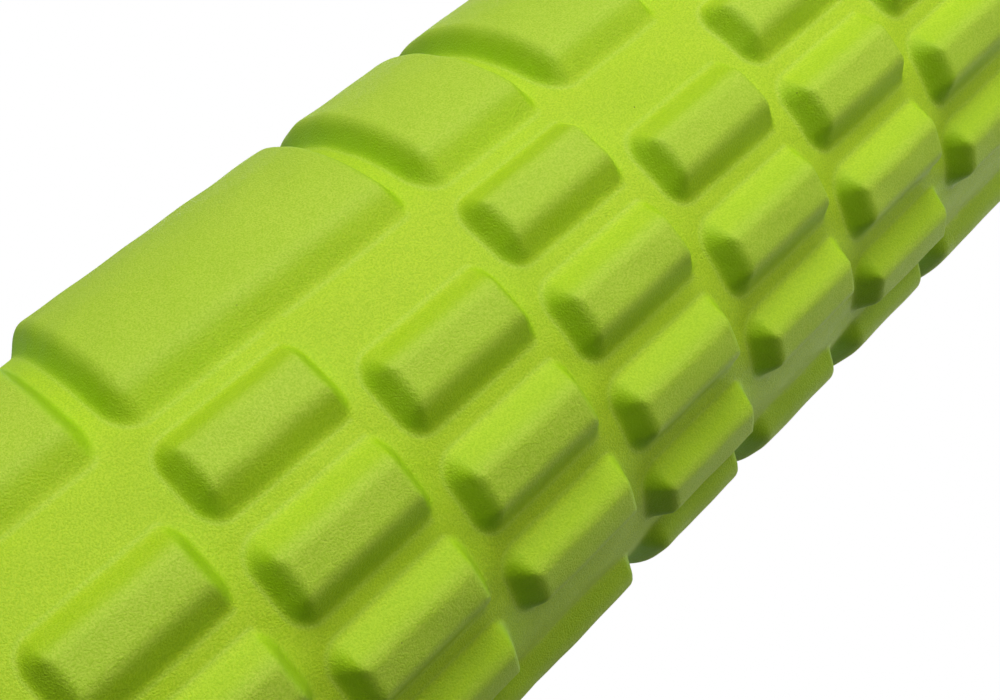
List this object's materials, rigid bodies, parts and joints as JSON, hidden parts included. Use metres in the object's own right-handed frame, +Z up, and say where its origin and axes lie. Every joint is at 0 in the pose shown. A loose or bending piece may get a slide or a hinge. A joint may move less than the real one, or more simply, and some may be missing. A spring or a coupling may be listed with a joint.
{
  "type": "foam massage roller",
  "caption": "Hollow-core massage roller: a rigid tube in a sleeve of moulded EVA foam with rows of small and large rounded blocks.",
  "frame": {"origin": "centre of the bottom end of the roller, which stands on end", "axes": "+Z up along the roller's axis, +X towards the middle of one zone of small blocks, +Y towards the middle of a column of large blocks"},
  "size_m": [0.125, 0.125, 0.33],
  "materials": {
    "core_plastic": "black ABS, drawn tube with a fine satin surface",
    "adhesive": "cured contact adhesive, thin amber film",
    "eva_foam": "lime green closed-cell EVA foam, matt moulded skin"
  },
  "bodies": {
    "root": {"core_tube": "core_plastic", "bond_layer": "adhesive", "foam_sleeve": "eva_foam"}
  },
  "joints": []
}
